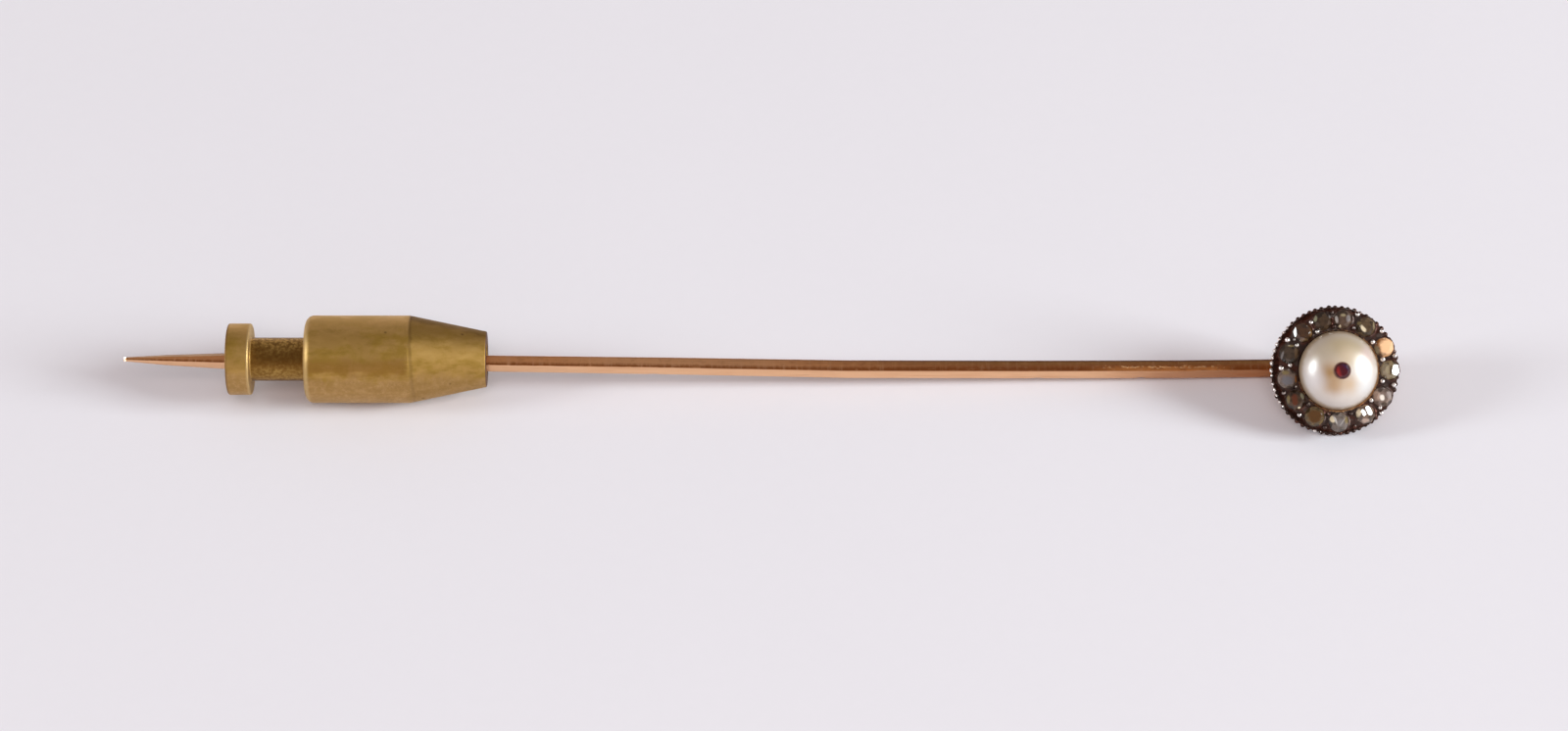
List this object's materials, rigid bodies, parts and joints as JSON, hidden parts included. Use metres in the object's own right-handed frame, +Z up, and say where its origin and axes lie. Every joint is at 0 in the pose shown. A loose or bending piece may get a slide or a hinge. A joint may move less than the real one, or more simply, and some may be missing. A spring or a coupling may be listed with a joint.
{
  "type": "tie pin",
  "caption": "Stick pin of square wire with a tilted round cluster head, a pearl ringed by small stones, and a sliding clutch with a sprung knob that grips the wire and covers its point.",
  "frame": {"origin": "on the table that the pin lies on, under the middle of its box", "axes": "+X along the pin from the point to the head, +Z up, -Y the side that the head's face leans to"},
  "size_m": [0.0694, 0.008, 0.0058],
  "materials": {
    "rose_gold": "worn satin rose gold",
    "clutch_brass": "mottled satin brass",
    "dark_silver": "silver darkened nearly black, bright on the rim's beads and the grains",
    "pearl": "cream pearl with soft lustre",
    "ruby": "polished deep red",
    "diamond": "polished, rose cut, a little grey and brown"
  },
  "bodies": {
    "pin": {"stem": "rose_gold", "setting": "dark_silver", "pearl": "pearl", "ruby": "ruby", "stone_01": "diamond", "stone_02": "diamond", "stone_03": "diamond", "stone_04": "diamond", "stone_05": "diamond", "stone_06": "diamond", "stone_07": "diamond", "stone_08": "diamond", "stone_09": "diamond", "stone_10": "diamond", "stone_11": "diamond", "stone_12": "diamond", "stone_13": "diamond"},
    "clutch": {"clutch_barrel": "clutch_brass"},
    "plunger": {"clutch_plunger": "clutch_brass"}
  },
  "joints": [
    {"name": "clutch_slide", "type": "slide", "parent": "pin", "child": "clutch", "axis": [0.999, -0.0056, -0.0433], "range_m": [-0.0205, 0.042]},
    {"name": "knob_pull", "type": "slide", "parent": "clutch", "child": "plunger", "axis": [-0.9994, -0.0046, 0.0331], "range_m": [0, 0.0012], "stiffness_N_per_m": 20, "springref_m": -0.001}
  ]
}
